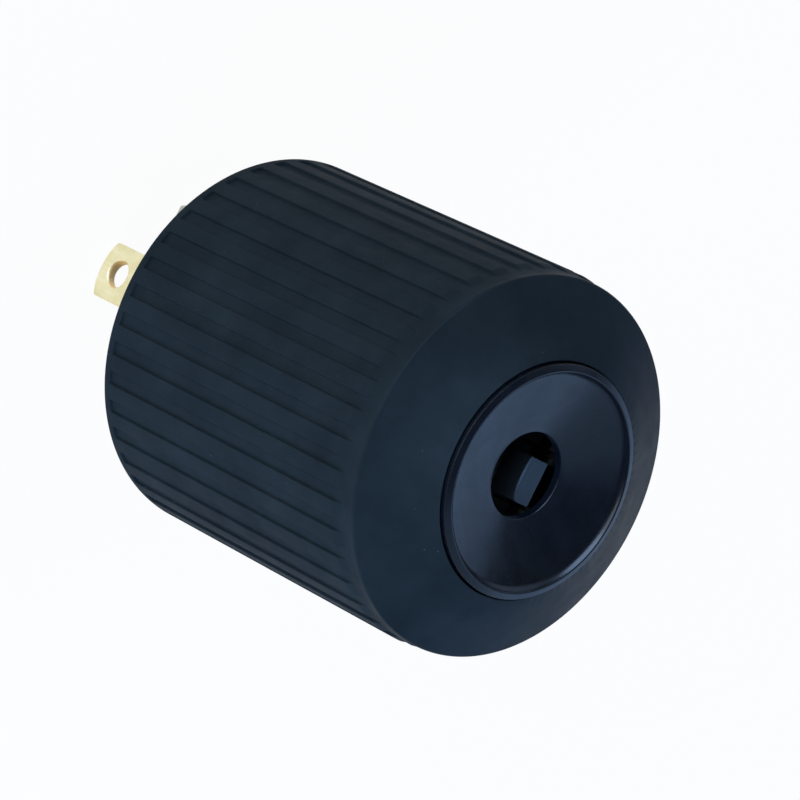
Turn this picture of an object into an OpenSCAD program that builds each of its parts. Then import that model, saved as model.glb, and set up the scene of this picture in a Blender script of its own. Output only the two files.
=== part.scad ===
// Four-pole locking power plug, rewireable.
// It stands on its blade tips: +Z runs from the tips to the cord end, and the origin is the centre of
// the circle of blades in the plane of their tips.

/* [Cover] */
// Outside diameter over the grip ribs
cover_d = 54; // [50:0.5:62]
// Height of the cover's side, from its open edge to the bevel
side_h = 54; // [50:0.5:64]
// Height of the bevel at the cord end
bevel_h = 5.7; // [4.4:0.1:8]
// Wall of the cover's side, without the ribs
cover_wall = 3; // [2.4:0.1:3.6]
// Wall of the cover around the blade carrier
mouth_wall = 2.2; // [1.8:0.1:2.4]
// Height of the rib-free collar at the open edge
collar_h = 1.4; // [0.8:0.1:3]
// Rounding where the side meets the bevel
edge_round = 1.2; // [0.8:0.1:2]
// Wall of the bevelled end, measured upright
end_wall = 3.6; // [3:0.1:4.2]

/* [Grip ribs] */
// Number of ribs
rib_count = 40; // [24:1:60]
// Height of a rib above the side
rib_h = 0.4; // [0.2:0.05:0.6]
// Width of the groove between two ribs
groove_w = 1.9; // [1:0.1:2.4]
// Length over which a rib's end runs out at the cord end
rib_runout = 1.7; // [0.8:0.1:3]
// Plain band between the ribs and the bevel
band_h = 2; // [1.8:0.1:4]
// Angle by which the ribs are turned from the blades
rib_turn = 6.3; // [0:0.1:8]

/* [Cord ring] */
// Outside diameter of the dished ring at the cord end
ring_d = 32.6; // [31:0.1:34]
// Gap around the ring
ring_gap = 0.2; // [0.1:0.05:0.5]
// Height of the ring's lip above the bevel
ring_proud = 0.8; // [0.2:0.1:1.5]
// Rounding of the ring's crest
crest_r = 0.25; // [0.15:0.05:0.4]
// Width of the slope from the ring's edge up to the middle of its crest
ring_slope_w = 0.9; // [0.7:0.1:1.4]
// Radius of the hollow where the dish turns up to the crest
hollow_r = 1.4; // [0.8:0.1:2]
// Depth of the dish, from the crest to the edge of the bore
dish_depth = 3.2; // [2:0.1:3.6]
// Diameter of the cord bore
cord_bore_d = 12; // [10:0.5:13]
// Length of the bore's wall
bore_wall = 1.1; // [0.8:0.1:1.5]
// Depth of the ring's seat below the bevel's inner edge
seat_depth = 2.8; // [2:0.1:3]
// Thickness of the ledge that the ring sits on
ledge_t = 2.4; // [1.6:0.1:3]
// Width of that ledge
ledge_w = 3; // [2:0.1:3.6]
// Number of snap hooks on the ring
hook_count = 4; // [3:1:6]
// Width of a snap hook
hook_w = 6; // [4:0.5:8]
// Reach of a hook under the ledge
hook_reach = 0.9; // [0.5:0.1:1.2]

/* [Blades] */
// Thickness of the blade strip
blade_t = 1.6; // [1.4:0.05:1.8]
// Outside diameter of the circle of blades
blade_circle_d = 28; // [27:0.1:29]
// Width of a line or ground blade
blade_w = 8.2; // [7:0.1:9]
// Width of the neutral blade
neutral_w = 11.6; // [10:0.1:12.4]
// Reach of the blades beyond the mating face
blade_reach = 20.2; // [18:0.1:24]
// Diameter of the hole near a blade's tip
tip_hole_d = 4; // [3:0.1:4.4]
// Distance from the tip to the middle of that hole
tip_hole_z = 3.9; // [3.2:0.1:5]
// Depth of the locking notch in a blade's edge
notch_w = 1.6; // [1:0.1:2]
// Height of the locking notch
notch_h = 6.5; // [5:0.1:8]
// Distance from the mating face to the notch
notch_gap = 2.6; // [2:0.1:4]
// Length of the ground blade's in-turned hook
hook_leg = 3.6; // [3:0.1:4.4]

/* [Blade carrier] */
// Height of the mating face beyond the cover's edge
face_proud = 1.5; // [0.8:0.1:2.4]
// Depth of the carrier inside the cover
carrier_in = 6.2; // [5:0.1:8]
// Bevel around the mating face
face_bevel = 0.8; // [0.4:0.1:1.2]

/* [Terminals] */
// Width of a terminal tab
tab_w = 9.6; // [8.4:0.1:10.4]
// Height of the terminal screw's axis above the carrier
screw_rise = 10.6; // [9.6:0.1:12]
// Side of the square wire clamp
clamp_side = 9; // [8:0.1:10]
// Thickness of the wire clamp
clamp_t = 1.2; // [0.8:0.1:1.4]
// Diameter of the terminal screws
terminal_screw_d = 3.9; // [3.4:0.1:4.2]
// Height of the terminal block above the carrier
block_h = 20; // [18.5:0.5:24]

/* [Assembly screws] */
// Diameter of the screws that hold the cover and the block
body_screw_d = 3.4; // [3:0.1:3.8]
// Diameter of their heads
body_head_d = 6.2; // [5.6:0.1:6.6]
// Height of their heads
body_head_h = 2.2; // [1.8:0.1:2.6]
// Depth of screw engagement past the carrier
screw_grip = 12; // [8:0.5:14]

/* [Cord clamp] */
// Width of the cord channel
channel_w = 8.8; // [8:0.1:9.4]
// Height of the legs that carry the clamp frame
leg_h = 12.5; // [10:0.5:14]
// Height of the clamp frame
frame_h = 12; // [11:0.5:14]
// Thickness of the frame's two flanks
flank_t = 5.4; // [4.6:0.1:6]
// Thickness of the clamp jaw along its travel
jaw_t = 3.3; // [2.8:0.1:3.8]
// Width of the lug on top of the jaw
jaw_lug_w = 6.4; // [5:0.1:7]
// Height of that lug
jaw_lug_h = 4; // [3:0.1:5]
// Offset of the lug from the jaw's middle, which shows the jaw's way round
jaw_lug_off = 0.6; // [0:0.1:0.8]
// Room for the cord between the frame's near wall and the open jaw
cord_room = 12.7; // [11:0.1:13]
// Diameter of the clamp screw
clamp_screw_d = 3.9; // [3.4:0.1:4.2]
// Room between the open clamp screw's head and the cover
clamp_screw_room = 1; // [0.6:0.1:1.6]

/* [Hidden] */
$fn = 96;
EPS = 0.01;
BIG = 100;

// Clearances and small sizes
slide_gap = 0.15;   // between moulded pieces that fit in one another
hook_gap = 0.1;     // between the ring's hooks and the ledge above them
thread_gap = 0.05;  // around a screw in its thread
bend_r = 0.6;       // inside radius of the blades' folds
tip_crown_r = 18;   // crown of a blade's tip
tip_flat = 0.07;    // height that the crown loses to the tip's flat
tip_corner_r = 0.9; // rounding of a tip's corners
hole_dish = 0.35;   // countersink round a tip hole
crest_turn = 45;    // angle round the crest's arc at which the hollow begins
hollow_slope = 62;  // steepest slope of the hollow, where it meets the crest
collar_chamfer = 0.5;
drive_w = 1;        // width of a screw's slot
drive_h = 1.1;      // depth of a screw's slot
screw_point = 0.6;  // bevel at a screw's end
head_edge = 0.7;    // bevel round a pan head
head_sink = 0.4;    // depth of a body screw's head below the mating face
body_screw_gap = 0.2;
block_gap = 0.9;    // between the terminal block and the cover
pillar_gap = 0.3;   // between a screw pillar and the block's bay for it
wall_min = 1.6;     // least wall round a screw

// Heights, from the blade tips
z_face = blade_reach;
z_cover = z_face + face_proud;
z_seat = z_cover + carrier_in;      // carrier top, block bottom and foot of the screw pillars
z_side = z_cover + side_h;
z_bevel = z_side + bevel_h;
z_crest = z_bevel + ring_proud;
z_bore = z_crest - dish_depth;
z_ring = z_bevel - seat_depth;
z_ledge = z_ring - ledge_t;
z_block = z_seat + block_h;
z_frame = z_block + leg_h;
z_frame_top = z_frame + frame_h;

// Radii of the cover
cover_r = cover_d / 2;
side_r = cover_r - rib_h;
bore_r = side_r - cover_wall;
mouth_r = side_r - mouth_wall;
ring_r = ring_d / 2;
recess_r = ring_r + ring_gap;
ledge_r = recess_r - ledge_w;
skirt_r = ledge_r - slide_gap;
skirt_t = 1.6;
z_skirt = z_ledge - hook_gap;
bevel_run = side_r - recess_r;
bevel_angle = atan2(bevel_h, bevel_run);

// Blades and terminals
blade_ro = blade_circle_d / 2;
blade_ri = blade_ro - blade_t;
fold_r = blade_ro + bend_r;                 // radius at which the foot starts
foot_l = 1.2;                               // straight part of the foot
tab_x = fold_r + bend_r + foot_l;           // inner face of a terminal tab
tab_out = tab_x + blade_t;
plate_x = tab_out + slide_gap;
head_x = plate_x + clamp_t;
terminal_head_h = 2.2;
terminal_head_d = 7;
z_terminal = z_seat + screw_rise;
tab_top = z_terminal + 6.4;
block_r = bore_r - block_gap;
chamber_w = max(tab_w, clamp_side) + 2.4;   // with a finger's gap on both sides of the wire clamp

// Screws in the mating face
body_ring_r = mouth_r - body_head_d / 2 - wall_min;
pillar_r = body_screw_d / 2 + wall_min;
pillar_web = 2.4;
cover_screw_angles = [45, 225];
core_screw_angles = [135, 315];

// Cord clamp: the cord runs upwards, and the jaw moves along Y
near_wall_t = 3.5;
far_wall_t = 4;
flank_x = channel_w / 2;
frame_x = flank_x + flank_t;
near_y = -6;
jaw_y = near_y + cord_room;
entry_y = jaw_y - slide_gap;
far_y = jaw_y + jaw_t + slide_gap;
frame_y0 = near_y - near_wall_t;
frame_y1 = far_y + far_wall_t;
tongue_w = 1.1;
tongue_h = 2.4;
z_tongue = z_frame + 3.6;
jaw_z = z_frame + 1.6;
z_jaw_top = z_frame_top - 0.2;
z_clamp_screw = z_frame + 5.2;
clamp_head_d = 6.6;
clamp_head_h = 2.2;
clamp_screw_tip = jaw_y + jaw_t + thread_gap;
clamp_screw_l = bore_r - clamp_screw_room - clamp_head_h - clamp_screw_tip;
nut_w = 6.6;
nut_t = 2.4;
nut_y = (far_y + frame_y1) / 2;

black = [0.09, 0.11, 0.14];
satin = [0.12, 0.14, 0.18];
phenolic = [0.16, 0.15, 0.14];
brass = [0.80, 0.70, 0.42];
steel = [0.66, 0.67, 0.68];
green = [0.16, 0.42, 0.24];

// ---------------------------------------------------------------- helpers

// A slab over a 2D shape drawn in the plane of a radius: its x runs along Y and its y along Z
module radial_slab(x0, x1) {
    translate([x0, 0, 0]) rotate([90, 0, 90]) linear_extrude(x1 - x0) children();
}

// A slab over a section drawn as radius and height, of width w across the radius
module cross_slab(w) {
    translate([0, w / 2, 0]) rotate([90, 0, 0]) linear_extrude(w) children();
}

module box(x0, x1, y0, y1, z0, z1) {
    translate([x0, y0, z0]) cube([x1 - x0, y1 - y0, z1 - z0]);
}

// A bore or a shank along the radius, at height z
module radial_cylinder(x0, x1, r, z) {
    translate([x0, 0, z]) rotate([0, 90, 0]) cylinder(h = x1 - x0, r = r);
}

// A quarter of a folded strip round centre c: quadrant signs sx and sy
module fold(c, sx, sy) {
    r = bend_r + blade_t;
    translate(c) intersection() {
        difference() {
            circle(r = r);
            circle(r = bend_r);
        }
        translate([sx > 0 ? 0 : -r, sy > 0 ? 0 : -r]) square(r);
    }
}

// A pan-head screw, drawn with its head's underside at the origin and its shank along -Z
module pan_screw(d, length, head_d, head_h, slot_turn = 0) {
    difference() {
        rotate_extrude() polygon([
            [0, -length],
            [d / 2 - screw_point, -length],
            [d / 2, -length + screw_point],
            [d / 2, 0],
            [head_d / 2, 0],
            [head_d / 2, head_h - head_edge],
            [head_d / 2 - head_edge, head_h],
            [0, head_h]
        ]);
        rotate(slot_turn) translate([-head_d, -drive_w / 2, head_h - drive_h]) cube([2 * head_d, drive_w, BIG]);
    }
}

// ---------------------------------------------------------------- cover

// Outline of the cover's wall, without its ribs: radius and height
module cover_section() {
    round_c = [side_r - edge_round, z_side - edge_round * tan(bevel_angle / 2)];
    round_top = round_c + edge_round * [sin(bevel_angle), cos(bevel_angle)];
    inner_bevel_z = z_bevel - end_wall;
    inner_slope = bevel_h / bevel_run;
    neck_r = recess_r + 1;
    shoulder_z = min(z_ledge - EPS, inner_bevel_z - (neck_r - recess_r) * inner_slope);
    union() {
        polygon([
            [mouth_r, z_cover],
            [side_r - collar_chamfer, z_cover],
            [side_r, z_cover + collar_chamfer],
            [side_r, round_c[1]],
            round_c,
            round_top,
            [recess_r, z_bevel],
            [recess_r, z_ring],
            [ledge_r, z_ring],
            [ledge_r, z_ledge],
            [neck_r, z_ledge],
            [bore_r, shoulder_z - (bore_r - neck_r) * inner_slope],
            [bore_r, z_seat],
            [mouth_r, z_seat]
        ]);
        translate(round_c) circle(r = edge_round);
    }
}

// The collar and the ribs before they are parted by the grooves
module rib_envelope() {
    rib_end = z_side - band_h;
    root = 1;
    sink = 0.2;
    polygon([
        [side_r - root, z_cover],
        [cover_r - collar_chamfer, z_cover],
        [cover_r, z_cover + collar_chamfer],
        [cover_r, rib_end - rib_runout],
        [side_r - sink, rib_end + sink * rib_runout / rib_h],
        [side_r - root, rib_end]
    ]);
}

module grip_ribs() {
    pitch = 360 / rib_count;
    rib_angle = pitch - 2 * asin(groove_w / 2 / cover_r);
    intersection() {
        rotate_extrude() rib_envelope();
        union() {
            translate([0, 0, z_cover]) cylinder(h = collar_h, r = cover_r + 1);
            for (i = [0:rib_count - 1]) rotate(rib_turn + i * pitch) linear_extrude(z_side)
                polygon([
                    [0, 0],
                    (cover_r + 2) * [cos(rib_angle / 2), -sin(rib_angle / 2)],
                    (cover_r + 2) * [cos(rib_angle / 2), sin(rib_angle / 2)]
                ]);
        }
    }
}

// A pillar inside the cover that takes one cover screw, with its web to the side
module screw_pillar() {
    translate([body_ring_r, 0, z_seat]) cylinder(h = z_ledge + 0.8 - z_seat, r = pillar_r);
    box(body_ring_r, bore_r + 1, -pillar_web / 2, pillar_web / 2, z_seat, z_side - band_h);
}

module cover() {
    color(black) difference() {
        union() {
            rotate_extrude() cover_section();
            grip_ribs();
            for (a = cover_screw_angles) rotate(a) screw_pillar();
        }
        for (a = cover_screw_angles) rotate(a)
            translate([body_ring_r, 0, z_seat - 1]) cylinder(h = screw_grip + 2, r = body_screw_d / 2 + thread_gap);
    }
}

// ---------------------------------------------------------------- cord ring

// The dish is a shallow cone from the bore's edge. It runs at dish_end into the hollow, an arc round
// hollow_c, and the hollow meets the crest, an arc round crest_c, at hollow_top.
crest_c = [ring_r - ring_slope_w, z_crest - crest_r];
hollow_top = crest_c + crest_r * [-sin(crest_turn), cos(crest_turn)];
hollow_c = hollow_top + hollow_r * [-sin(hollow_slope), cos(hollow_slope)];
bore_to_hollow = hollow_c - [cord_bore_d / 2, z_bore];
dish_slope = atan2(bore_to_hollow[1], bore_to_hollow[0]) - asin(hollow_r / norm(bore_to_hollow));
dish_end = hollow_c + hollow_r * [sin(dish_slope), -cos(dish_slope)];

module ring_section() {
    bore = cord_bore_d / 2;
    skirt_in = skirt_r - skirt_t;
    lip = crest_c + crest_r * [sin(bevel_angle), cos(bevel_angle)];
    union() {
        difference() {
            polygon([
                [bore, z_bore - bore_wall],
                [skirt_in, z_ring],
                [skirt_in, z_skirt],
                [skirt_r, z_skirt],
                [skirt_r, z_ring],
                [ring_r, z_ring],
                [ring_r, lip[1] - (ring_r - lip[0]) * tan(bevel_angle)],
                lip,
                crest_c,
                hollow_top,
                dish_end,
                [bore, z_bore]
            ]);
            intersection() {
                translate(hollow_c) circle(r = hollow_r);
                translate([dish_end[0], z_bore]) square(2 * hollow_r);
            }
        }
        translate(crest_c) circle(r = crest_r);
    }
}

// One snap hook: a tongue below the skirt with a tapered nose under the ledge
module snap_hook() {
    nose_h = 1.5;
    nose_flat = 0.5;
    hook_in = skirt_r - skirt_t + 0.3;
    intersection() {
        rotate_extrude() polygon([
            [hook_in, z_skirt - nose_h],
            [skirt_r - nose_flat, z_skirt - nose_h],
            [skirt_r + hook_reach, z_skirt - nose_flat],
            [skirt_r + hook_reach, z_skirt],
            [skirt_r - nose_flat, z_skirt],
            [skirt_r - nose_flat, z_skirt + nose_flat],
            [hook_in, z_skirt + nose_flat]
        ]);
        box(0, BIG, -hook_w / 2, hook_w / 2, 0, BIG);
    }
}

module cord_ring() {
    color(satin) union() {
        rotate_extrude() ring_section();
        for (i = [0:hook_count - 1]) rotate(22.5 + i * 360 / hook_count) snap_hook();
    }
}

// ---------------------------------------------------------------- blades

// Outline of a blade seen along its radius, up from the tip
module blade_outline(w) {
    r = tip_corner_r;
    difference() {
        intersection() {
            union() {
                translate([-w / 2, r]) square([w, z_seat + 2 * blade_t]);
                translate([-w / 2 + r, 0]) square([w - 2 * r, 2 * r]);
                for (s = [-1, 1]) translate([s * (w / 2 - r), r]) circle(r = r);
            }
            union() {
                translate([0, tip_crown_r - tip_flat]) circle(r = tip_crown_r);
                translate([-w, tip_crown_r / 2]) square([2 * w, BIG]);
            }
        }
        translate([-w / 2 - 1, z_face - notch_gap - notch_h]) square([notch_w + 1, notch_h]);
    }
}

// Section of the curved shank and its out-turned foot: radius and height
module shank_section() {
    translate([blade_ri, 0]) square([blade_t, z_seat - bend_r]);
    fold([fold_r, z_seat - bend_r], -1, 1);
    translate([fold_r, z_seat]) square([tab_x - bend_r - fold_r, blade_t]);
}

// Section of the terminal tab, with the foot's outer end
module tab_section() {
    c = [tab_x - bend_r, z_seat + blade_t + bend_r];
    translate([fold_r, z_seat]) square([c[0] - fold_r, blade_t]);
    fold(c, 1, -1);
    translate([tab_x, c[1]]) square([blade_t, tab_top - c[1]]);
}

module blade_holes() {
    radial_cylinder(blade_ri - 1, blade_ro + 1, tip_hole_d / 2, tip_hole_z);
    for (s = [0, 1]) translate([s == 0 ? blade_ri : blade_ro, 0, tip_hole_z]) rotate([0, s == 0 ? 90 : -90, 0])
        translate([0, 0, -0.1])
            cylinder(h = hole_dish + 0.1, r1 = tip_hole_d / 2 + hole_dish + 0.1, r2 = tip_hole_d / 2);
    radial_cylinder(tab_x - 1, tab_out + 1, terminal_screw_d / 2 + thread_gap, z_terminal);
}

// A folded blade that lies on the +X side
module blade(w) {
    color(brass) difference() {
        union() {
            intersection() {
                rotate_extrude() shank_section();
                radial_slab(1, BIG / 2) blade_outline(w);
            }
            cross_slab(tab_w) tab_section();
        }
        blade_holes();
    }
}

// The ground blade's hook: a leg turned in towards the axis from the blade's trailing edge
module hook_foot(grow = 0) {
    x1 = sqrt(pow(blade_ro, 2) - pow(blade_w / 2, 2)) - 0.2;
    box(x1 - hook_leg - grow, x1 + grow, blade_w / 2 - blade_t - grow, blade_w / 2 + grow, 0, z_face + 1 + 4 * grow);
}

module ground_blade() {
    blade(blade_w);
    color(brass) intersection() {
        hook_foot();
        radial_slab(1, BIG / 2) blade_outline(blade_w);
    }
}

// ---------------------------------------------------------------- blade carrier

// The slot that a blade of width w passes through, with room for its fold
module blade_slot(w) {
    g = slide_gap;
    intersection() {
        translate([0, 0, z_face - 1]) difference() {
            cylinder(h = carrier_in + face_proud + 2, r = blade_ro + g);
            translate([0, 0, -1]) cylinder(h = BIG, r = blade_ri - g);
        }
        box(0, BIG, -w / 2 - g, w / 2 + g, 0, BIG);
    }
    intersection() {
        translate([0, 0, z_seat - bend_r - g]) difference() {
            cylinder(h = 3, r = fold_r + g);
            translate([0, 0, -1]) cylinder(h = BIG, r = blade_ri - g);
        }
        box(0, BIG, -w / 2 - g, w / 2 + g, 0, BIG);
    }
}

// Hole and head recess for one body screw
module body_screw_hole() {
    translate([body_ring_r, 0, z_face - 1]) {
        cylinder(h = BIG, r = body_screw_d / 2 + body_screw_gap);
        cylinder(h = 1 + head_sink + body_head_h, r = body_head_d / 2 + body_screw_gap);
    }
}

register_r = 7;
register_h = 1.4;
blade_angles = [0, 90, 180, 270];
blade_widths = [blade_w, blade_w, neutral_w, blade_w];

module blade_carrier() {
    r = mouth_r - slide_gap;
    color(phenolic) difference() {
        rotate_extrude() polygon([
            [0, z_face],
            [r - face_bevel, z_face],
            [r, z_face + face_bevel],
            [r, z_seat],
            [0, z_seat]
        ]);
        translate([0, 0, z_seat - register_h - slide_gap]) cylinder(h = BIG, r = register_r + slide_gap);
        for (i = [0:3]) rotate(blade_angles[i]) blade_slot(blade_widths[i]);
        hook_foot(slide_gap);
        for (a = concat(cover_screw_angles, core_screw_angles)) rotate(a) body_screw_hole();
    }
}

// ---------------------------------------------------------------- terminal block

// Room for one terminal: its folded foot, its tab and the screw's tip, open outwards and upwards
module terminal_chamber(w) {
    g = slide_gap;
    foot_x = sqrt(pow(blade_ri, 2) - pow(w / 2, 2)) - g;
    box(foot_x, BIG, -w / 2 - g, w / 2 + g, z_seat - 1, z_seat + blade_t + g);
    box(fold_r - g, tab_out, -tab_w / 2 - g, tab_w / 2 + g, z_seat - 1, z_seat + blade_t + bend_r);
    box(tab_x - g, BIG, -chamber_w / 2, chamber_w / 2, z_seat + blade_t, z_block + 1);
    radial_cylinder(blade_ri - 1.6, BIG / 2, terminal_screw_d / 2 + 0.4, z_terminal);
}

// The frame that guides the clamp jaw, on four legs
module clamp_tower() {
    for (sx = [-1, 1], y = [[frame_y0, near_y], [far_y, frame_y1]])
        box(min(sx * flank_x, sx * frame_x), max(sx * flank_x, sx * frame_x), y[0], y[1], z_block - 1, z_frame + 1);
    for (sx = [-1, 1])
        box(min(sx * flank_x, sx * frame_x), max(sx * flank_x, sx * frame_x), frame_y0, frame_y1, z_frame, z_frame_top);
    box(-flank_x - 1, flank_x + 1, frame_y0, near_y, z_frame, z_frame_top);
    box(-flank_x - 1, flank_x + 1, far_y, frame_y1, z_frame, z_frame_top - 3);
}

// Cuts in the frame: the jaw's tongue grooves and their entries, the nut's slot and the screw's hole
module clamp_cuts() {
    g = slide_gap;
    side = flank_x + tongue_w + g;
    box(-side, side, near_y + 6, far_y, z_tongue - g, z_tongue + tongue_h + g);
    for (s = [-1, 1])
        box(min(s * (flank_x - 1), s * side), max(s * (flank_x - 1), s * side), entry_y, far_y, z_tongue, BIG);
    box(-nut_w / 2 - g, nut_w / 2 + g, nut_y - nut_t / 2 - g, nut_y + nut_t / 2 + g,
        z_clamp_screw - nut_w / 2 - g, BIG);
    translate([0, far_y - 1, z_clamp_screw]) rotate([-90, 0, 0])
        cylinder(h = far_wall_t + 2, r = clamp_screw_d / 2 + slide_gap);
}

module terminal_block() {
    bay_r = pillar_r + pillar_gap;
    color(phenolic) difference() {
        union() {
            translate([0, 0, z_seat]) cylinder(h = block_h, r = block_r);
            translate([0, 0, z_seat - register_h]) cylinder(h = register_h + 1, r = register_r);
            clamp_tower();
        }
        for (i = [0:3]) rotate(blade_angles[i]) terminal_chamber(blade_widths[i]);
        for (a = cover_screw_angles) rotate(a) {
            translate([body_ring_r, 0, z_seat - 1]) cylinder(h = block_h + 2, r = bay_r);
            box(body_ring_r, BIG, -bay_r, bay_r, z_seat - 1, z_block + 1);
        }
        for (a = core_screw_angles) rotate(a)
            translate([body_ring_r, 0, z_seat - 1]) cylinder(h = screw_grip + 2, r = body_screw_d / 2 + thread_gap);
        clamp_cuts();
    }
}

// ---------------------------------------------------------------- terminals' small pieces

module wire_clamp() {
    s = clamp_side / 2;
    cut = 1;
    grip_w = 0.7;
    grip_h = 0.4;
    grip_x = 3.2;
    color(steel) difference() {
        radial_slab(plate_x, plate_x + clamp_t) translate([0, z_terminal]) polygon([
            [-s, -s + cut], [-s + cut, -s], [s - cut, -s], [s, -s + cut],
            [s, s - cut], [s - cut, s], [-s + cut, s], [-s, s - cut]
        ]);
        radial_cylinder(plate_x - 1, head_x + 1, terminal_screw_d / 2 + 0.2, z_terminal);
        for (side = [-1, 1]) radial_slab(plate_x - 1, plate_x + grip_h)
            translate([side * grip_x - grip_w / 2, z_terminal - clamp_side]) square([grip_w, 2 * clamp_side]);
    }
}

module terminal_screw(tint, slot_turn) {
    reach = head_x - (blade_ri - 1);
    color(tint) translate([head_x, 0, z_terminal]) rotate([0, 90, 0])
        pan_screw(terminal_screw_d, reach, terminal_head_d, terminal_head_h, slot_turn);
}

// ---------------------------------------------------------------- cord clamp

module clamp_jaw() {
    g = slide_gap;
    body_x = flank_x - g;
    lug_z = z_jaw_top - jaw_lug_h;
    tooth_pitch = 2;
    tooth_cut = 0.8;
    color(satin) difference() {
        union() {
            box(-body_x, body_x, jaw_y, jaw_y + jaw_t, jaw_z, lug_z);
            box(jaw_lug_off - jaw_lug_w / 2, jaw_lug_off + jaw_lug_w / 2, jaw_y, jaw_y + jaw_t, lug_z - 1, z_jaw_top);
            box(-body_x - tongue_w, body_x + tongue_w, jaw_y, jaw_y + jaw_t, z_tongue, z_tongue + tongue_h);
        }
        for (z = [jaw_z + tooth_pitch / 2:tooth_pitch:lug_z - tooth_pitch / 2]) translate([0, jaw_y, z])
            rotate([45, 0, 0]) cube([BIG, tooth_cut, tooth_cut], center = true);
    }
}

module clamp_screw() {
    color(steel) translate([0, clamp_screw_tip + clamp_screw_l, z_clamp_screw]) rotate([-90, 0, 0])
        pan_screw(clamp_screw_d, clamp_screw_l, clamp_head_d, clamp_head_h, 30);
}

module clamp_nut() {
    color(steel) difference() {
        box(-nut_w / 2, nut_w / 2, nut_y - nut_t / 2, nut_y + nut_t / 2,
            z_clamp_screw - nut_w / 2, z_clamp_screw + nut_w / 2);
        translate([0, nut_y - nut_t, z_clamp_screw]) rotate([-90, 0, 0])
            cylinder(h = 2 * nut_t, r = clamp_screw_d / 2 + thread_gap);
    }
}

// ---------------------------------------------------------------- body screws

module body_screws(angles) {
    seat = z_face + body_head_h + head_sink;
    color(steel) for (a = angles) rotate(a) translate([body_ring_r, 0, seat]) rotate([180, 0, 0])
        pan_screw(body_screw_d, z_seat - seat + screw_grip, body_head_d, body_head_h, a);
}

// ---------------------------------------------------------------- assembly

cover();
cord_ring();
blade_carrier();
terminal_block();
rotate(0) ground_blade();
rotate(90) blade(blade_w);  // line_blade_y
rotate(180) blade(neutral_w);  // neutral_blade
rotate(270) blade(blade_w);  // line_blade_x
rotate(0) wire_clamp();  // wire_clamp_ground
rotate(90) wire_clamp();  // wire_clamp_y
rotate(180) wire_clamp();  // wire_clamp_neutral
rotate(270) wire_clamp();  // wire_clamp_x
rotate(0) terminal_screw(green, 20);  // terminal_screw_ground
rotate(90) terminal_screw(brass, 75);  // terminal_screw_y
rotate(180) terminal_screw(steel, -35);  // terminal_screw_neutral
rotate(270) terminal_screw(brass, 50);  // terminal_screw_x
clamp_jaw();
clamp_screw();
clamp_nut();
body_screws(cover_screw_angles);  // cover_screws
body_screws(core_screw_angles);  // core_screws
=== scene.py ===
"""Looks of the locking power plug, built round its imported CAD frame.

Lengths are in millimetres until a mesh is made. Lamps and the floor are in metres."""

import math

import bmesh
import bpy
from mathutils import Matrix, Vector


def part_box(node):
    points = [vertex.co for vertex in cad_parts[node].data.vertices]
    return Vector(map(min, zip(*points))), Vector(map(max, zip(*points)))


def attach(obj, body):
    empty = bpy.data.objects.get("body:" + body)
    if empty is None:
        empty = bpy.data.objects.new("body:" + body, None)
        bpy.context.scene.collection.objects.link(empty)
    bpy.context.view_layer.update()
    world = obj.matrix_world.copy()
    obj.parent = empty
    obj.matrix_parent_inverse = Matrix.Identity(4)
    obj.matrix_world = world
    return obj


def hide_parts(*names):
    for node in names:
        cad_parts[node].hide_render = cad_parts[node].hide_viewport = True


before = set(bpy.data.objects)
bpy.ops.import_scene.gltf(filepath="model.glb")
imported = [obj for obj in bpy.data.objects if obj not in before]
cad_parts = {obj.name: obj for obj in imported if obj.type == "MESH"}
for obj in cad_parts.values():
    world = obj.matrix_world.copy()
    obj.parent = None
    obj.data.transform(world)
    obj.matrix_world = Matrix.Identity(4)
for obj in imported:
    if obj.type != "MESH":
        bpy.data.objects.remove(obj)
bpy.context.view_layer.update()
MM = 0.001


# ------------------------------------------------------------------ sizes, the main ones read from the frame's own boxes, the rest given

def box_mm(name):
    low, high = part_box(name)
    return low / MM, high / MM


cover_lo, cover_hi = box_mm("cover")
_, ring_hi = box_mm("cord_ring")
_, carrier_hi = box_mm("blade_carrier")

# Cover
COVER_R = cover_hi.x
RIB_H = 0.4
SIDE_R = COVER_R - RIB_H
RIB_COUNT = 40
RIB_TURN = 6.3
GROOVE_W = 1.9
Z_COVER = cover_lo.z
Z_BEVEL = cover_hi.z
BEVEL_H = 5.7
Z_SIDE = Z_BEVEL - BEVEL_H
COLLAR_H = 1.4
BAND_H = 2.0
RUNOUT = 1.7
EDGE_ROUND = 0.6
WALL = 3.0
BORE_R = SIDE_R - WALL
MOUTH_R = SIDE_R - 2.2
Z_SEAT = carrier_hi.z

# Cord ring and its seat
RING_R = ring_hi.x
RECESS_R = RING_R + 0.2
LEDGE_R = RECESS_R - 3.0
Z_CREST = ring_hi.z
Z_RING = Z_BEVEL - 2.8
Z_LEDGE = Z_RING - 2.4
CORD_R = 6.0
Z_BORE = Z_CREST - 3.2
CREST_R = 0.25
CREST_X = RING_R - 0.9
HOLLOW_R = 1.4
SKIRT_R = LEDGE_R - 0.15
HOOK_W = 6.0
BEVEL_ANGLE = math.degrees(math.atan2(BEVEL_H, SIDE_R - RECESS_R))
SLOPE_ANGLE = BEVEL_ANGLE - 8

# Blades
BLADE_R = 14.0
BLADE_T = 1.6
BLADE_EDGE = 0.16
TIP_CUT = 8.0
TIP_FLAT = 0.07
TIP_HOLE_R = 1.88
TIP_HOLE_Z = 3.9
HOLE_RIM = 0.25
TIP_RIM_R = TIP_HOLE_R + HOLE_RIM + 0.06
HOLE_ZONE_R = 2.6


# ------------------------------------------------------------------ small helpers

def linear(code):
    """An sRGB hex colour as linear RGBA."""
    channels = [int(code[i:i + 2], 16) / 255 for i in (1, 3, 5)]
    return tuple(c / 12.92 if c <= 0.04045 else ((c + 0.055) / 1.055) ** 2.4 for c in channels) + (1.0,)


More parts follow.
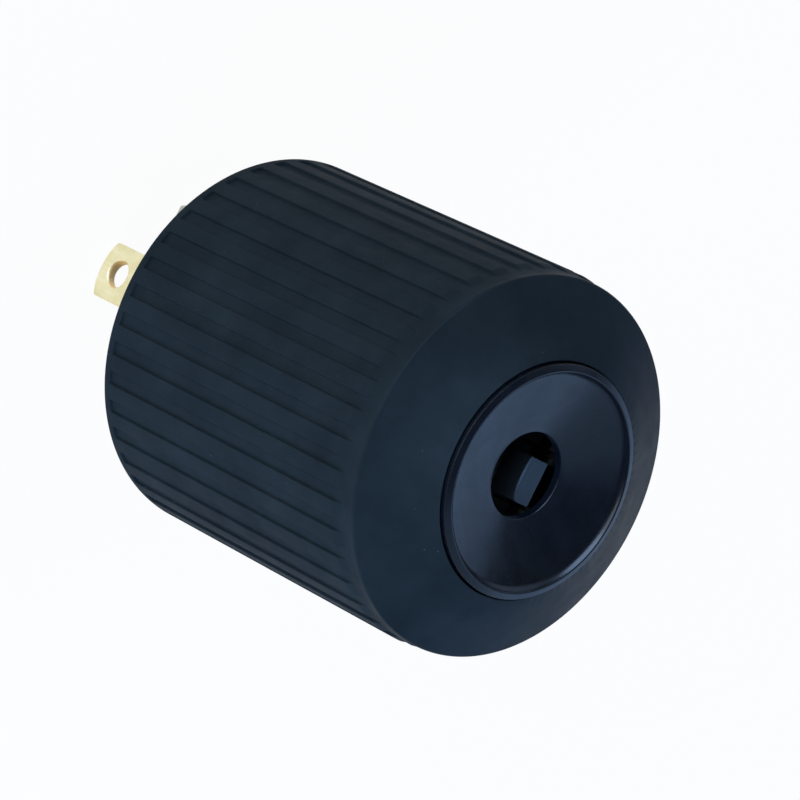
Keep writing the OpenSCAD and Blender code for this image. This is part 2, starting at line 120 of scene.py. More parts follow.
def add_node(tree, kind, settings=None, **inputs):
    """Adds a node with its settings. An input is a value, or another node's output to link from."""
    node = tree.nodes.new(kind)
    for name, value in (settings or {}).items():
        setattr(node, name, value)
    for name, value in inputs.items():
        key = name.replace("_", " ")
        socket = node.inputs[int(name[1:])] if name[0] == "n" and name[1:].isdigit() else node.inputs[key]
        if isinstance(value, bpy.types.NodeSocket):
            tree.links.new(value, socket)
        else:
            socket.default_value = value
    return node


def add_object(name, data):
    piece = bpy.data.objects.new(name, data)
    bpy.context.scene.collection.objects.link(piece)
    return piece


def mesh_from(name, points, faces):
    """A mesh from points in millimetres."""
    mesh = bpy.data.meshes.new(name)
    mesh.from_pydata([(x * MM, y * MM, z * MM) for x, y, z in points], [], faces)
    mesh.update()
    return mesh


def evaluated(piece):
    """Turns a piece with modifiers into a plain mesh."""
    mesh = bpy.data.meshes.new_from_object(piece.evaluated_get(bpy.context.evaluated_depsgraph_get()))
    piece.modifiers.clear()
    piece.data = mesh
    return piece


def finished(piece, material, smooth_angle, seam=None):
    """The piece with one material and area-weighted normals. Edges at the height of a seam stay sharp."""
    for polygon in piece.data.polygons:
        polygon.use_smooth = True
    piece.data.set_sharp_from_angle(angle=math.radians(smooth_angle))
    if seam is not None:
        points = piece.data.vertices
        for edge in piece.data.edges:
            if all(abs(points[v].co.z - seam * MM) < 1e-6 for v in edge.vertices):
                edge.use_edge_sharp = True
    weighted = piece.modifiers.new("area weighted normals", "WEIGHTED_NORMAL")
    weighted.keep_sharp = True
    evaluated(piece)
    piece.data.materials.clear()
    piece.data.materials.append(material)
    return piece


def arc(centre, radius, start, end, steps):
    """Points of an arc in the plane of radius and height, angles in degrees from the outward direction."""
    turns = [math.radians(start + (end - start) * i / steps) for i in range(steps + 1)]
    return [(centre[0] + radius * math.cos(t), centre[1] + radius * math.sin(t)) for t in turns]


def rounded(points, radius, steps=3):
    """A closed outline with its corners rounded, as far as its sides leave room."""
    result = []
    for i, corner in enumerate(points):
        here = Vector(corner)
        before = Vector(points[i - 1]) - here
        after = Vector(points[(i + 1) % len(points)]) - here
        half = before.angle(after) / 2
        reach = min(radius / math.tan(half), 0.49 * before.length, 0.49 * after.length)
        fillet = reach * math.tan(half)
        start = here + before.normalized() * reach
        end = here + after.normalized() * reach
        centre = here + (before.normalized() + after.normalized()).normalized() * (fillet / math.sin(half))
        for k in range(steps + 1):
            way = (start - centre).lerp(end - centre, k / steps)
            result.append(tuple(centre + way.normalized() * fillet))
    return result


def lathe(name, section, segments, start=0.0, sweep=360.0):
    """Turns a closed section of (radius, height) points about the axis. Its points run anticlockwise."""
    closed = abs(sweep - 360) < 1e-6
    columns = segments if closed else segments + 1
    points = []
    for j in range(columns):
        a = math.radians(start + sweep * j / segments)
        points += [(r * math.cos(a), r * math.sin(a), z) for r, z in section]
    n = len(section)
    faces = []
    for j in range(segments):
        k = (j + 1) % columns
        faces += [(j * n + i, k * n + i, k * n + (i + 1) % n, j * n + (i + 1) % n) for i in range(n)]
    if not closed:
        faces += [tuple(range(n))[::-1], tuple(segments * n + i for i in range(n))]
    mesh = mesh_from(name, points, faces)
    set_outward(mesh)
    return mesh


def set_outward(mesh):
    shell = bmesh.new()
    shell.from_mesh(mesh)
    bmesh.ops.remove_doubles(shell, verts=shell.verts, dist=1e-7)
    bmesh.ops.recalc_face_normals(shell, faces=shell.faces)
    shell.to_mesh(mesh)
    shell.free()


# ------------------------------------------------------------------ a tree that repeats a piece round the axis

def make_ring_tree():
    tree = bpy.data.node_groups.new("repeat round the axis", "GeometryNodeTree")
    face = tree.interface
    face.new_socket("Geometry", in_out="INPUT", socket_type="NodeSocketGeometry")
    face.new_socket("Count", in_out="INPUT", socket_type="NodeSocketInt")
    face.new_socket("First angle", in_out="INPUT", socket_type="NodeSocketFloat")
    face.new_socket("Weld distance", in_out="INPUT", socket_type="NodeSocketFloat")
    face.new_socket("Material", in_out="INPUT", socket_type="NodeSocketMaterial")
    face.new_socket("Geometry", in_out="OUTPUT", socket_type="NodeSocketGeometry")
    given = tree.nodes.new("NodeGroupInput").outputs
    points = add_node(tree, "GeometryNodePoints", None, Count=given["Count"])
    step = add_node(tree, "ShaderNodeMath", {"operation": "DIVIDE"}, n0=math.tau, n1=given["Count"])
    index = add_node(tree, "GeometryNodeInputIndex")
    angle = add_node(tree, "ShaderNodeMath", {"operation": "MULTIPLY_ADD"},
                     n0=index.outputs[0], n1=step.outputs[0], n2=given["First angle"])
    turn = add_node(tree, "ShaderNodeCombineXYZ", None, Z=angle.outputs[0])
    copies = add_node(tree, "GeometryNodeInstanceOnPoints", None, Points=points.outputs[0],
                      Instance=given["Geometry"], Rotation=turn.outputs[0])
    real = add_node(tree, "GeometryNodeRealizeInstances", None, Geometry=copies.outputs[0])
    weld = add_node(tree, "GeometryNodeMergeByDistance", None, Geometry=real.outputs[0],
                    Distance=given["Weld distance"])
    paint = add_node(tree, "GeometryNodeSetMaterial", None, Geometry=weld.outputs[0],
                     Material=given["Material"])
    end = tree.nodes.new("NodeGroupOutput")
    tree.links.new(paint.outputs[0], end.inputs[0])
    return tree


RING_TREE = make_ring_tree()


def repeated(piece, count, material, first_angle, weld=0.002):
    """The piece's mesh repeated round the axis by geometry nodes, as one plain mesh."""
    made = piece.modifiers.new("repeat round the axis", "NODES")
    made.node_group = RING_TREE
    sockets = {s.name: s.identifier for s in RING_TREE.interface.items_tree if s.in_out == "INPUT"}
    made[sockets["Count"]] = count
    made[sockets["First angle"]] = math.radians(first_angle)
    made[sockets["Weld distance"]] = weld * MM
    made[sockets["Material"]] = material
    return evaluated(piece)


# ------------------------------------------------------------------ camera, floor and lights

def set_camera():
    """The view down on the cord end, with the axis running right and down across the frame."""
    right = Vector((-0.4407, 0.6387, 0.6308)).normalized()
    back = Vector((0.0, -0.7027, 0.7115)).normalized()
    up = back.cross(right).normalized()
    right = up.cross(back)
    data = bpy.data.cameras.new("studio camera")
    data.lens = 205.4
    data.sensor_width = 36
    data.clip_start, data.clip_end = 0.05, 20
    camera = add_object("studio camera", data)
    turn = Matrix((right, up, back)).transposed().to_4x4()
    camera.matrix_world = Matrix.Translation(Vector((-1.6, -434.4, 491.5)) * MM) @ turn
    bpy.context.scene.camera = camera


def place_lamp(name, data, direction, distance, target, watts, colour, glints, lights):
    """Puts a lamp at a distance in metres from its target and turns it to face that."""
    data.energy = watts
    data.color = linear(colour)[:3]
    lamp = add_object(name, data)
    way = Vector(direction).normalized()
    lamp.location = Vector(target) + way * distance
    lamp.rotation_mode = "QUATERNION"
    lamp.rotation_quaternion = way.to_track_quat("Z", "Y")
    lamp.visible_glossy = glints
    lamp.visible_diffuse = lights


def area_light(name, direction, distance, size, watts, colour, glints=True, lights=True):
    data = bpy.data.lights.new(name, "AREA")
    data.shape = "DISK"
    data.size = size
    place_lamp(name, data, direction, distance, (0, 0, 0.05), watts, colour, glints, lights)


def snooted_spot(name, direction, watts, colour, target):
    data = bpy.data.lights.new(name, "SPOT")
    data.spot_size = math.radians(1.1)
    data.spot_blend = 0.4
    data.shadow_soft_size = 0.01
    place_lamp(name, data, direction, 1.0, target, watts, colour, glints=False, lights=True)


def set_lights():
    world = bpy.data.worlds.new("studio")
    bpy.context.scene.world = world
    world.use_nodes = True
    sky = world.node_tree.nodes["Background"]
    sky.inputs["Color"].default_value = linear("#ffffff")
    sky.inputs["Strength"].default_value = 0.05

    area_light("front softbox", (-0.10, -0.92, 0.34), 1.0, 0.9, 5.2, "#deebf8")
    # The window is only seen in the gloss, as the crescent in the ring's dish.
    area_light("window", (-0.60, -0.60, 0.53), 1.0, 0.85, 12.0, "#b4d2ff", lights=False)
    area_light("key softbox", (0.85, -0.25, 0.45), 0.9, 0.6, 6.6, "#b9d3ff", glints=False)
    area_light("back panel", (0.05, 0.93, 0.30), 0.9, 1.0, 2.7, "#a4cbff")
    area_light("upper panel", (0.50, 0.50, 0.70), 0.9, 0.9, 1.2, "#a9d0ff")
    area_light("left panel", (-0.80, 0.42, 0.42), 0.9, 0.8, 1.3, "#b4d2ff")
    area_light("high light", (-0.30, 0.10, 0.95), 1.0, 0.4, 1.6, "#b9d3ff", glints=False)
    # The spot looks in through the bore, so that the cord clamp shows.
    snooted_spot("bore spot", (0.0, -0.870, 0.492), 58, "#cfe0ff", (0, 0, Z_BORE * MM))


def studio_sweep():
    """Matt white paper near the object, falling to the studio's grey so that its edge doesn't show. The camera
    and the gloss see it almost evenly white, with the object's shadow left in."""
    material = bpy.data.materials.new("studio sweep")
    material.use_nodes = True
    tree = material.node_tree
    tree.nodes.clear()
    place = add_node(tree, "ShaderNodeTexCoord")
    reach = add_node(tree, "ShaderNodeVectorMath", {"operation": "LENGTH"}, n0=place.outputs["Object"])
    fade = add_node(tree, "ShaderNodeMapRange", {"interpolation_type": "SMOOTHSTEP"},
                    Value=reach.outputs["Value"], From_Min=0.30, From_Max=0.9, To_Min=1.0, To_Max=0.0)
    paint = add_node(tree, "ShaderNodeMix", {"data_type": "RGBA"}, n0=fade.outputs[0],
                     n6=linear("#5a6878"), n7=linear("#ffffff"))
    lit = add_node(tree, "ShaderNodeBsdfDiffuse", None, Color=paint.outputs[2])
    glow = add_node(tree, "ShaderNodeEmission", None, Color=paint.outputs[2], Strength=1.0)
    path = add_node(tree, "ShaderNodeLightPath")
    seen = add_node(tree, "ShaderNodeMath", {"operation": "MAXIMUM"},
                    n0=path.outputs["Is Camera Ray"], n1=path.outputs["Is Glossy Ray"])
    seen = add_node(tree, "ShaderNodeMath", {"operation": "MAXIMUM"},
                    n0=seen.outputs[0], n1=path.outputs["Is Transmission Ray"])
    share = add_node(tree, "ShaderNodeMath", {"operation": "MULTIPLY"}, n0=seen.outputs[0], n1=0.95)
    both = add_node(tree, "ShaderNodeMixShader", None, n0=share.outputs[0],
                    n1=lit.outputs[0], n2=glow.outputs[0])
    out = tree.nodes.new("ShaderNodeOutputMaterial")
    tree.links.new(both.outputs[0], out.inputs["Surface"])
    return material


def make_floor():
    disc = bmesh.new()
    bmesh.ops.create_circle(disc, cap_ends=True, radius=3.0, segments=96)
    mesh = bpy.data.meshes.new("floor")
    disc.to_mesh(mesh)
    disc.free()
    mesh.materials.append(studio_sweep())
    floor = add_object("floor", mesh)
    floor.location.z = -0.0002


# ------------------------------------------------------------------ materials

def start_material(name):
    material = bpy.data.materials.new(name)
    material.use_nodes = True
    tree = material.node_tree
    tree.nodes.clear()
    shader = tree.nodes.new("ShaderNodeBsdfPrincipled")
    out = tree.nodes.new("ShaderNodeOutputMaterial")
    tree.links.new(shader.outputs[0], out.inputs["Surface"])
    place = add_node(tree, "ShaderNodeTexCoord")
    return material, tree, shader, place.outputs["Object"]


def ramp(tree, value, *stops):
    """A colour ramp on a value, from (place, hex) stops."""
    node = add_node(tree, "ShaderNodeValToRGB", None, Fac=value)
    for element, (place, colour) in zip(node.color_ramp.elements, stops):
        element.position = place
        element.color = linear(colour)
    return node.outputs["Color"]


def per_mm(millimetres):
    """The scale of a noise whose features are about this many millimetres wide."""
    return 1 / (millimetres * MM)


def fibre_ends(tree, place, colour, strength):
    """Mixes in the pale ends of the glass fibres, drawn as dots of about 0.15 mm, coarser than real ones."""
    dots = add_node(tree, "ShaderNodeTexVoronoi", None, Vector=place, Scale=per_mm(1.5))
    size = add_node(tree, "ShaderNodeMapRange", None, Value=dots.outputs["Distance"],
                    From_Min=0.035, From_Max=0.075, To_Min=1.0, To_Max=0.0)
    pick = add_node(tree, "ShaderNodeMath", {"operation": "GREATER_THAN"}, n0=dots.outputs["Color"], n1=0.78)
    amount = add_node(tree, "ShaderNodeMath", {"operation": "MULTIPLY"},
                      n0=size.outputs[0], n1=pick.outputs[0])
    amount = add_node(tree, "ShaderNodeMath", {"operation": "MULTIPLY"}, n0=amount.outputs[0], n1=strength)
    mixed = add_node(tree, "ShaderNodeMix", {"data_type": "RGBA"}, n0=amount.outputs[0],
                     n6=colour, n7=linear("#6d7780"))
    return mixed.outputs[2]


def moulded_plastic(name, dark, light, roughness, grain_mm, grain_lift, specks=0.0, level=0.5, coarser=0.0):
    """A dull moulded plastic, a little cloudy, with the grain of a spark-eroded mould, drawn coarser than the
    real 0.05 mm so that it shows. Below the cover's shoulder it is rougher by the amount given as coarser."""
    material, tree, shader, place = start_material(name)
    cloud = add_node(tree, "ShaderNodeTexNoise", None, Vector=place, Scale=per_mm(9), Detail=4.0,
                     Roughness=0.6)
    colour = ramp(tree, cloud.outputs["Fac"], (0.3, dark), (0.7, light))
    if specks:
        colour = fibre_ends(tree, place, colour, specks)
    tree.links.new(colour, shader.inputs["Base Color"])
    smear = add_node(tree, "ShaderNodeTexNoise", None, Vector=place, Scale=per_mm(3), Detail=3.0,
                     Roughness=0.5)
    gloss = add_node(tree, "ShaderNodeMapRange", None, Value=smear.outputs["Fac"],
                     From_Min=0.3, From_Max=0.7, To_Min=roughness - 0.04, To_Max=roughness + 0.05)
    height = add_node(tree, "ShaderNodeSeparateXYZ", None, Vector=place)
    side = add_node(tree, "ShaderNodeMapRange", None, Value=height.outputs["Z"],
                    From_Min=(Z_SIDE - 1) * MM, From_Max=(Z_SIDE + 0.5) * MM, To_Min=coarser, To_Max=0.0)
    finish = add_node(tree, "ShaderNodeMath", {"operation": "ADD"}, n0=gloss.outputs[0], n1=side.outputs[0])
    tree.links.new(finish.outputs[0], shader.inputs["Roughness"])
    grain = add_node(tree, "ShaderNodeTexNoise", None, Vector=place, Scale=per_mm(grain_mm), Detail=2.0,
                     Roughness=0.5)
    bump = add_node(tree, "ShaderNodeBump", None, Height=grain.outputs["Fac"], Strength=1.0,
                    Distance=grain_lift * MM)
    tree.links.new(bump.outputs[0], shader.inputs["Normal"])
    shader.inputs["Specular IOR Level"].default_value = level
    return material


def rolled_metal(name, dark, light, roughness, grain_along="Z"):
    """Satin metal with fine lines along its rolling or turning direction and faint tarnish. Where the mesh
    marks a bore, the punched wall is rougher and browner."""
    material, tree, shader, place = start_material(name)
    stretch = {"X": (0.06, 1, 1), "Z": (1, 1, 0.06)}[grain_along]
    lines = add_node(tree, "ShaderNodeMapping", None, Vector=place, Scale=stretch)
    streak = add_node(tree, "ShaderNodeTexNoise", None, Vector=lines.outputs[0], Scale=per_mm(0.35),
                      Detail=3.0, Roughness=0.6)
    tarnish = add_node(tree, "ShaderNodeTexNoise", None, Vector=place, Scale=per_mm(3.5), Detail=4.0,
                       Roughness=0.6)
    mix = add_node(tree, "ShaderNodeMath", {"operation": "MULTIPLY_ADD"},
                   n0=streak.outputs["Fac"], n1=0.4, n2=tarnish.outputs["Fac"])
    bore = add_node(tree, "ShaderNodeAttribute", {"attribute_name": "bore"})
    punched = add_node(tree, "ShaderNodeMix", {"data_type": "RGBA"}, n0=bore.outputs["Fac"],
                       n6=ramp(tree, mix.outputs[0], (0.45, dark), (0.95, light)), n7=linear("#f2d49a"))
    tree.links.new(punched.outputs[2], shader.inputs["Base Color"])
    gloss = add_node(tree, "ShaderNodeMapRange", None, Value=tarnish.outputs["Fac"],
                     From_Min=0.3, From_Max=0.7, To_Min=roughness + 0.06, To_Max=roughness - 0.05)
    torn = add_node(tree, "ShaderNodeMath", {"operation": "MULTIPLY_ADD"}, n0=bore.outputs["Fac"], n1=0.3,
                    n2=gloss.outputs[0])
    tree.links.new(torn.outputs[0], shader.inputs["Roughness"])
    bump = add_node(tree, "ShaderNodeBump", None, Height=streak.outputs["Fac"], Strength=1.0,
                    Distance=0.004 * MM)
    tree.links.new(bump.outputs[0], shader.inputs["Normal"])
    shader.inputs["Metallic"].default_value = 1.0
    return material


# ------------------------------------------------------------------ the cover

def rib_profile():
    """One pitch across the ribs: (angle round the axis, share of the rib's height), from groove centre to
    groove centre. The flanks lean by a mould's draft, the edges are rounded and the roots have a fillet."""
    pitch = math.tau * COVER_R / RIB_COUNT
    half = (pitch - GROOVE_W) / 2
    edge, root, draft = 0.14, 0.07, 0.05
    side = [(half - edge + edge * math.sin(t), RIB_H - edge + edge * math.cos(t))
            for t in [math.radians(a) for a in (0, 22, 45, 68, 86)]]
    side += [(half + draft + root - root * math.sin(t), root - root * math.cos(t))
             for t in [math.radians(a) for a in (80, 50, 25, 0)]]
    side += [(half + (pitch / 2 - half) * 0.6, 0.0), (pitch / 2, 0.0)]
    right = [(0.0, RIB_H), (half * 0.5, RIB_H)] + side
    left = [(-s, h) for s, h in right[:0:-1]]
    return [(s / COVER_R, h / RIB_H) for s, h in left + right]


def cover_rows():
    """Rows round the cover's section: (radius, height, share of the rib's shape at that row).
    Radius None is the ribbed side, and "runout" the stretch on which the ribs sink into the side."""
    rib_end = Z_SIDE - BAND_H
    collar = Z_COVER + COLLAR_H
    foot = 0.45
    lip = 0.14
    lean = math.radians(BEVEL_ANGLE)
    rows = [(r, z, 0.0) for r, z in arc((COVER_R - foot, Z_COVER + foot), foot, -90, 0, 6)]
    for lift, share in ((-0.08, 0.0), (-0.02, 0.06), (0.04, 0.3), (0.1, 0.7), (0.16, 0.94), (0.24, 1.0)):
        rows.append((None, collar + lift, share))
    rows += [(None, collar + (rib_end - RUNOUT - collar) * k / 4, 1.0) for k in (1, 2, 3)]
    for k in range(9):
        part = k / 8
        sunk = part * part * (3 - 2 * part) * 0.35 + part * 0.65
        rows.append(("runout", rib_end - RUNOUT + RUNOUT * part, 1.0 - sunk))
    rows.append((SIDE_R, rib_end + 0.4, 0.0))
    corner = (SIDE_R - EDGE_ROUND, Z_SIDE - EDGE_ROUND * math.tan(lean / 2))
    rows += [(r, z, 0.0) for r, z in arc(corner, EDGE_ROUND, 0, 90 - BEVEL_ANGLE, 7)]
    top_r, top_z, _ = rows[-1]
    lip_z = Z_BEVEL - lip * (1 + math.sin(lean)) / math.cos(lean)
    lip_rows = [(r, z, 0.0) for r, z in arc((RECESS_R + lip, lip_z), lip, 90 - BEVEL_ANGLE, 180, 6)]
    lip_r, lip_top, _ = lip_rows[0]
    for k in (1, 2, 3):
        rows.append((top_r + (lip_r - top_r) * k / 4, top_z + (lip_top - top_z) * k / 4, 0.0))
    shelf_r = RECESS_R + 1
    inner = [
        (RECESS_R, Z_RING), (LEDGE_R, Z_RING), (LEDGE_R, Z_LEDGE), (shelf_r, Z_LEDGE),
        (BORE_R, Z_LEDGE - (BORE_R - shelf_r) * math.tan(lean)), (BORE_R, Z_SEAT), (MOUTH_R, Z_SEAT),
        (MOUTH_R, Z_COVER + 0.3), (MOUTH_R + 0.3, Z_COVER),
    ]
    return rows + lip_rows + [(r, z, 0.0) for r, z in inner]


def row_radius(radius, share, height):
    if radius is None:
        return COVER_R - RIB_H * share * (1 - height)
    if radius == "runout":
        return SIDE_R + RIB_H * share * height
    return radius


def make_cover(material):
    """The cover's wall for one rib, repeated round the axis and welded."""
    across = rib_profile()
    rows = cover_rows()
    points = []
    for radius, z, share in rows:
        for angle, height in across:
            r = row_radius(radius, share, height)
            points.append((r * math.cos(angle), r * math.sin(angle), z))
    n = len(across)
    faces = []
    for i in range(len(rows)):
        k = (i + 1) % len(rows)
        faces += [(i * n + j, i * n + j + 1, k * n + j + 1, k * n + j) for j in range(n - 1)]
    piece = add_object("ribbed_cover", mesh_from("cover wall, one rib", points, faces))
    repeated(piece, RIB_COUNT, material, RIB_TURN)
    set_outward(piece.data)
    finished(piece, material, 38)
    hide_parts("cover")
    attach(piece, "root")


# ------------------------------------------------------------------ the cord ring

def ring_section():
    """The ring's section: a shallow cone, a hollow that turns up to the crest, and an outer slope that runs on
    from the bevel, less steep."""
    crest = Vector((CREST_X, Z_CREST - CREST_R))
    steep = math.radians(62)
    top = crest + CREST_R * Vector((-math.sin(math.radians(45)), math.cos(math.radians(45))))
    hollow = top + HOLLOW_R * Vector((-math.sin(steep), math.cos(steep)))
    away = hollow - Vector((CORD_R, Z_BORE))
    cone = math.atan2(away.y, away.x) - math.asin(HOLLOW_R / away.length)
    edge = 0.16
    edge_centre = (CORD_R + edge, Z_BORE + edge * (math.tan(cone) - 1) + 0.02)
    section = [(CORD_R, Z_BORE - 1.1)] + arc(edge_centre, edge, 180, 90 + math.degrees(cone), 4)
    start = Vector(section[-1])
    end = hollow + HOLLOW_R * Vector((math.sin(cone), -math.cos(cone)))
    for k in range(1, 12):
        sag = Vector((0, 0.05 * math.sin(math.pi * k / 12)))
        section.append(tuple(start.lerp(end, k / 12) - sag))
    section += arc(hollow, HOLLOW_R, -90 + math.degrees(cone), -90 + 58, 10)
    section += arc(crest, CREST_R, 90 + 50, 90 - SLOPE_ANGLE, 9)
    slope_r, slope_z = section[-1]
    edge_z = slope_z - (RING_R - slope_r) * math.tan(math.radians(SLOPE_ANGLE))
    section += [(RING_R - 0.03, edge_z + 0.02), (RING_R, edge_z - 0.03)]
    return section + [(RING_R, Z_RING), (SKIRT_R, Z_RING), (SKIRT_R, Z_LEDGE - 0.1),
                      (SKIRT_R - 1.6, Z_LEDGE - 0.1), (SKIRT_R - 1.6, Z_RING)]


def make_cord_ring(material):
    piece = add_object("dished_cord_ring", lathe("cord ring", ring_section(), 288))
    finished(piece, material, 32)
    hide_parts("cord_ring")
    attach(piece, "root")


def make_snap_hooks(material):
    """The ring's four hooks, which reach under the cover's ledge."""
    nose = [(-1.5, -1.6), (-0.5, -1.6), (0.9, -0.6), (0.9, -0.1), (-0.5, -0.1), (-0.5, 0.4), (-1.5, 0.4)]
    nose = rounded([(SKIRT_R + r, Z_LEDGE + z) for r, z in nose], 0.15)
    half = math.degrees(math.asin(HOOK_W / 2 / SKIRT_R))
    hooks = add_object("ring_snap_hooks", lathe("snap hook", nose, 10, -half, 2 * half))
    repeated(hooks, 4, material, 22.5)
    finished(hooks, material, 32)
    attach(hooks, "root")


# ------------------------------------------------------------------ the blades

def solid_copy(node):
    """A merged copy of a node's solid, with the triangles of its flat faces joined."""
    shell = bmesh.new()
    shell.from_mesh(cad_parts[node].data)
    bmesh.ops.remove_doubles(shell, verts=shell.verts, dist=1e-6)
    bmesh.ops.dissolve_limit(shell, angle_limit=math.radians(0.3), verts=shell.verts, edges=shell.edges)
    return shell


def add_blade(shell, node, material, smooth_angle, seam=None, rounding=None):
    mesh = bpy.data.meshes.new(node)
    shell.to_mesh(mesh)
    shell.free()
    piece = add_object(node + "_strip", mesh)
    if rounding is not None:
        rounding(piece)
    finished(piece, material, smooth_angle, seam)
    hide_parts(node)
    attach(piece, "root")


def round_weighted_edges(piece):
    rounding = piece.modifiers.new("rounded edges", "BEVEL")
    rounding.width = BLADE_EDGE * MM
    rounding.segments = 3
    rounding.limit_method = "WEIGHT"
    rounding.miter_outer = "MITER_ARC"
    rounding.use_clamp_overlap = True
    evaluated(piece)


def make_ground_blade(material):
    """The ground blade on +X: its own solid with rounded edges. The tip hole keeps its countersunk rim."""
    shell = solid_copy("ground_blade")
    weight = shell.edges.layers.float.new("bevel_weight_edge")
    for edge in shell.edges:
        middle = (edge.verts[0].co + edge.verts[1].co) / 2 / MM
        at_hole = math.hypot(middle.y, middle.z - TIP_HOLE_Z) < HOLE_ZONE_R
        if edge.is_manifold and edge.calc_face_angle() > math.radians(60) and not at_hole:
            edge[weight] = 1.0
    add_blade(shell, "ground_blade", material, 30, rounding=round_weighted_edges)


def tip_reach(angle, inset, half, crown_r, corner_r):
    """How far a blade's outline is from the middle of its tip hole, along an angle in degrees."""
    way = (math.cos(math.radians(angle)), math.sin(math.radians(angle)))
    low, high = 0.0, 20.0
    for _ in range(40):
        reach = (low + high) / 2
        y, z = abs(reach * way[0]), TIP_HOLE_Z + reach * way[1]
        past_corner = (max(0.0, y - half + corner_r), max(0.0, corner_r - z))
        in_corner = math.hypot(*past_corner) <= corner_r - inset
        in_crown = math.hypot(y, z - crown_r + TIP_FLAT) <= crown_r - inset
        inside = y <= half - inset and inset <= z <= TIP_CUT and in_corner and in_crown
        low, high = (reach, high) if inside else (low, reach)
    return low


def tip_angles(half, corner_r):
    """Directions of the tip's rays: even steps, with rays of their own at the cut's and the tip's corners."""
    shoulder = math.degrees(math.atan2(TIP_CUT - TIP_HOLE_Z, half))
    toe = -math.degrees(math.atan2(TIP_HOLE_Z - 0.3 * corner_r, half - 0.3 * corner_r)) % 360
    corners = [shoulder, 180 - shoulder]
    corners += [side for more in (-2, -1, 0, 1, 2) for side in (toe + more, 540 - toe + more)]
    even = [3.0 * k for k in range(120)]
    return sorted(corners + [a for a in even if min(abs(a - c) for c in corners) > 0.8])


def tip_rows():
    """Rows of a tip's section from the hole's wall over one face to the edge, and back on the other face:
    (part, how far out, depth below the face, which face)."""
    face = [("hole", TIP_HOLE_R, BLADE_T / 2), ("hole", TIP_HOLE_R, HOLE_RIM + 0.1),
            ("hole", TIP_HOLE_R + 0.03, HOLE_RIM - 0.02), ("hole", TIP_HOLE_R + 0.16, HOLE_RIM - 0.18),
            ("hole", TIP_HOLE_R + HOLE_RIM - 0.04, 0.03), ("hole", TIP_RIM_R, 0.0)]
    face += [("face", k / 6, 0.0) for k in range(1, 6)]
    face += [("edge", 1 - math.sin(t), 1 - math.cos(t)) for t in map(math.radians, (0, 30, 60, 90))]
    middle = [("middle", 0.0, BLADE_T / 2, 1)]
    return [(*row, 1) for row in face] + middle + [(*row, -1) for row in face[:0:-1]]


def blade_tip(shell, turn, outline):
    """Adds a blade's tip below the cut: both curved faces, rounded edges and the punched hole, ray by ray."""
    half, _, corner_r = outline
    bore = shell.faces.layers.float.new("bore")
    rows = tip_rows()
    loops = []
    for angle in tip_angles(half, corner_r):
        loop = []
        rise = math.sin(math.radians(angle))
        outer = tip_reach(angle, 0, *outline)
        below = TIP_CUT - TIP_HOLE_Z - outer * rise
        round_r = BLADE_EDGE * min(1, max(0.03, below / 2))
        for kind, value, depth, side in rows:
            if kind == "hole":
                reach = value
            elif kind == "face":
                reach = TIP_RIM_R + (tip_reach(angle, round_r, *outline) - TIP_RIM_R) * value
            elif kind == "edge":
                reach, depth = tip_reach(angle, value * round_r, *outline), depth * round_r
            else:
                reach = outer
            depth = depth if side > 0 else BLADE_T - depth
            y = reach * math.cos(math.radians(angle))
            x = math.sqrt((BLADE_R - depth) ** 2 - y * y)
            place = Matrix.Rotation(math.radians(turn), 3, "Z") @ Vector((x, y, TIP_HOLE_Z + reach * rise))
            loop.append(shell.verts.new(place * MM))
        loops.append(loop)
    for one, two in zip(loops, loops[1:] + loops[:1]):
        for i, (kind, value, _, _) in enumerate(rows):
            k = (i + 1) % len(rows)
            wall = shell.faces.new((one[i], one[k], two[k], two[i]))
            punched = kind == rows[k][0] == "hole" and value < TIP_HOLE_R + 0.1
            wall[bore] = 1.0 if punched else 0.0


def make_blade(node, turn, material, half, crown_r, corner_r):
    """A blade: its solid above the cut, and a finer tip with a rounded hole below it."""
    shell = solid_copy(node)
    cut = bmesh.ops.bisect_plane(shell, geom=shell.verts[:] + shell.edges[:] + shell.faces[:], dist=1e-7,
                                 plane_co=(0, 0, TIP_CUT * MM), plane_no=(0, 0, 1), clear_inner=True)
    bmesh.ops.holes_fill(shell, edges=[e for e in cut["geom_cut"] if isinstance(e, bmesh.types.BMEdge)])
    blade_tip(shell, turn, (half, crown_r, corner_r))
    bmesh.ops.recalc_face_normals(shell, faces=shell.faces)
    add_blade(shell, node, material, 32, seam=TIP_CUT)


# ------------------------------------------------------------------ putting it together

def dress(material, *nodes):
    for node in nodes:
        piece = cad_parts[node]
        piece.data.materials.clear()
        piece.data.materials.append(material)


set_camera()
set_lights()
make_floor()
bpy.context.scene.view_settings.view_transform = "Standard"

# Glass-filled nylon from a spark-eroded mould: a satin blue-black that lights softly, so the ribs and grooves
# read, with a few pale fibre ends. The side is duller than the bevel.
cover_nylon = moulded_plastic("moulded black nylon, satin", "#1e272c", "#283237", 0.42, 0.22, 0.003,
                              specks=0.5, level=0.045, coarser=0.25)
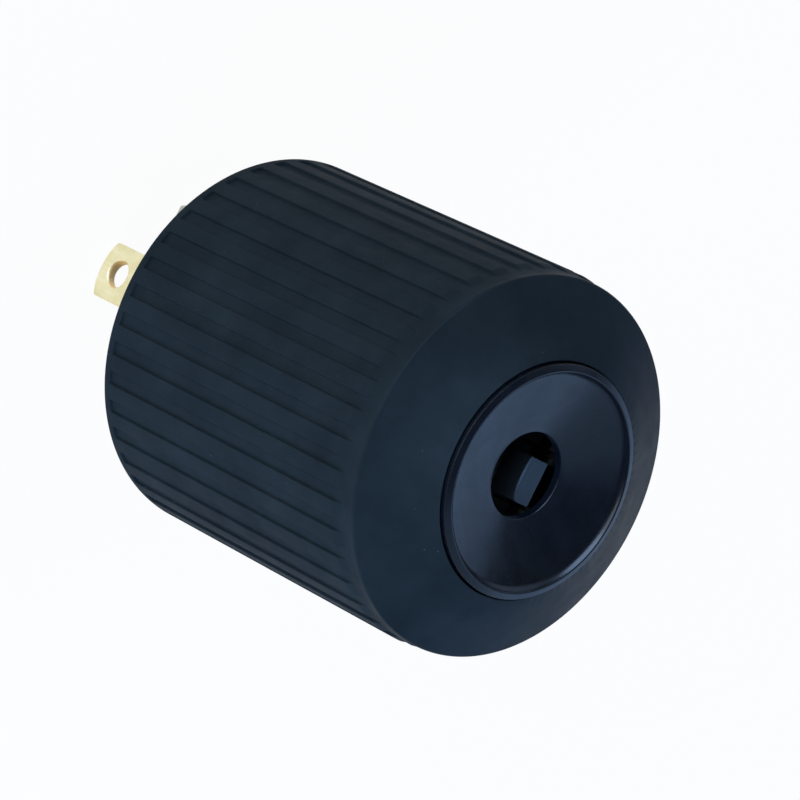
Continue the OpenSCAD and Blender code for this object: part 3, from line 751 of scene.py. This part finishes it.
# The same nylon from a polished mould: nearly black, with clear soft-edged reflections in the dish.
ring_nylon = moulded_plastic("moulded black nylon, smooth", "#060b12", "#091019", 0.27, 0.30, 0.001,
                             specks=0.3)
# Unfilled nylon: a flat slate grey that stands out in the dark of the bore.
jaw_nylon = moulded_plastic("moulded grey nylon", "#3f4d5a", "#4a5a68", 0.45, 0.22, 0.003)
# Pressed urea or phenolic: a warm, dead black, duller than the cover round it.
thermoset = moulded_plastic("pressed black thermoset", "#131211", "#1b1a18", 0.48, 0.30, 0.006, level=0.3)
# Half-hard brass strip: pale yellow, satin, with faint lines along the blade.
blade_brass = rolled_metal("rolled brass strip", "#ddd3a0", "#f5f0cc", 0.33)
# The same strip plated before punching: a soft warm grey, with the brass bare in the hole.
blade_nickel = rolled_metal("nickel-plated brass strip", "#a3a49b", "#bcbdb3", 0.33)
# Screws turned from brass bar: deeper gold, with lines across the head.
screw_brass = rolled_metal("turned brass", "#b8964a", "#d9bd75", 0.28, "X")
# Bright zinc on steel: cool light grey with soft highlights.
plated_steel = rolled_metal("zinc-plated steel", "#9a9c9d", "#c4c6c7", 0.33, "X")
# Dyed zinc on steel: the green that marks the ground screw, with the metal's sheen through it.
green_steel = rolled_metal("green-dyed plated steel", "#1f5a33", "#2f7a48", 0.36, "X")

make_cover(cover_nylon)
make_cord_ring(ring_nylon)
make_snap_hooks(ring_nylon)
make_blade("line_blade_y", 90, blade_brass, half=4.1, crown_r=18, corner_r=0.9)
make_blade("neutral_blade", 180, blade_nickel, half=5.8, crown_r=60, corner_r=0.4)
make_blade("line_blade_x", 270, blade_brass, half=4.1, crown_r=18, corner_r=0.9)
make_ground_blade(blade_brass)

dress(thermoset, "blade_carrier", "terminal_block")
dress(jaw_nylon, "clamp_jaw")
dress(plated_steel, "wire_clamp_x", "wire_clamp_y", "wire_clamp_neutral", "wire_clamp_ground",
      "terminal_screw_neutral", "clamp_screw", "clamp_nut", "cover_screws", "core_screws")
dress(screw_brass, "terminal_screw_x", "terminal_screw_y")
dress(green_steel, "terminal_screw_ground")
